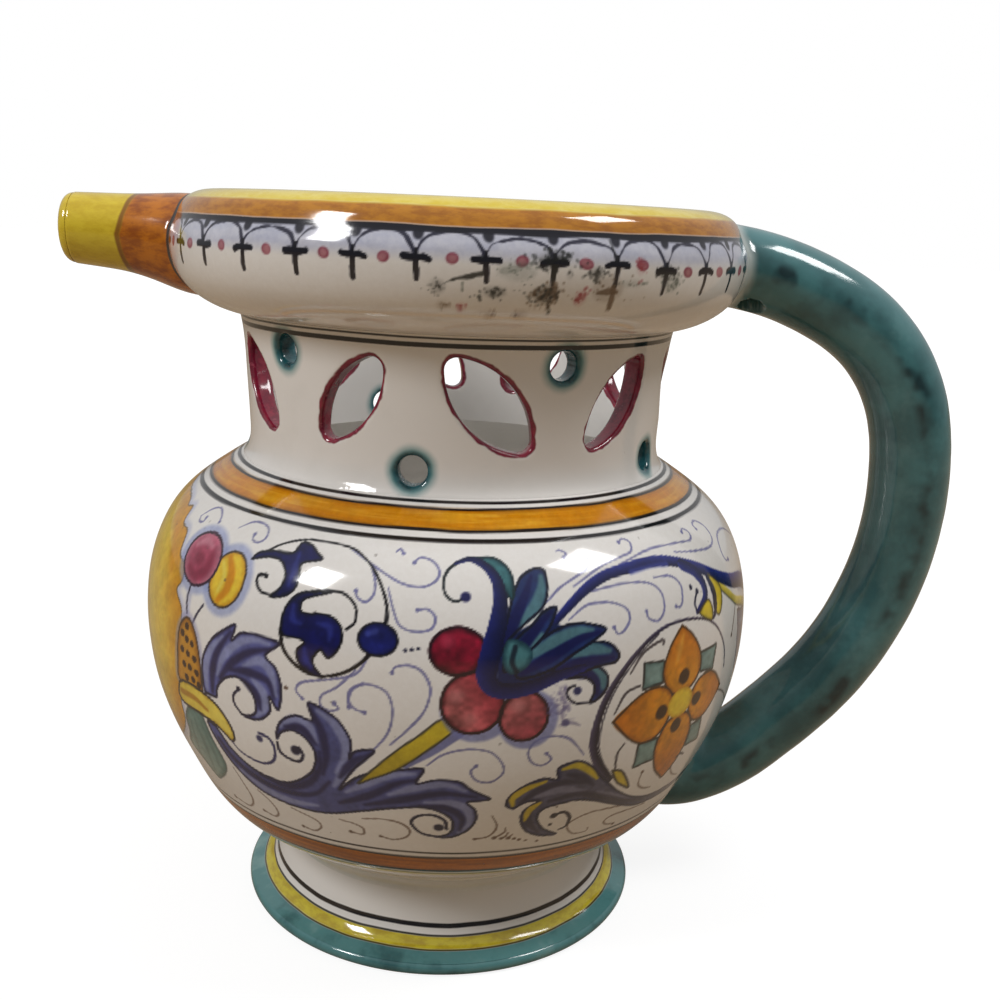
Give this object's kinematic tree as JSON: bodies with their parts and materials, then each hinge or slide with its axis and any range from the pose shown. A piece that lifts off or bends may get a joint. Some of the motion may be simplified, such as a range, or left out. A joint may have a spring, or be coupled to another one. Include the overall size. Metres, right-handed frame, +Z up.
{
  "type": "puzzle jug",
  "caption": "Round-bellied puzzle jug with a pierced neck, a hollow rim, a drinking spout and a hollow looped handle that feeds the rim.",
  "frame": {"origin": "middle of the foot's resting face, on the jug's axis", "axes": "+Z up along the jug's axis, +X towards the handle, -X towards the spout, -Y the side the picture shows"},
  "size_m": [0.195, 0.1322, 0.1552],
  "materials": {
    "foot_glaze": "gloss white glaze, teal and yellow bands",
    "belly_glaze": "gloss white glaze with painted scrollwork",
    "neck_glaze": "gloss white glaze, magenta and teal cut edges",
    "rim_glaze": "gloss white glaze with a painted arcade",
    "rim_top_glaze": "gloss orange and yellow glaze",
    "handle_glaze": "gloss mottled teal glaze",
    "spout_glaze": "gloss yellow and orange glaze"
  },
  "bodies": {
    "root": {"foot_ring": "foot_glaze", "belly": "belly_glaze", "pierced_neck": "neck_glaze", "rim_channel": "rim_glaze", "rim_cap": "rim_top_glaze", "handle": "handle_glaze", "upper_lute": "handle_glaze", "lower_lute": "handle_glaze", "spout": "spout_glaze"}
  },
  "joints": []
}
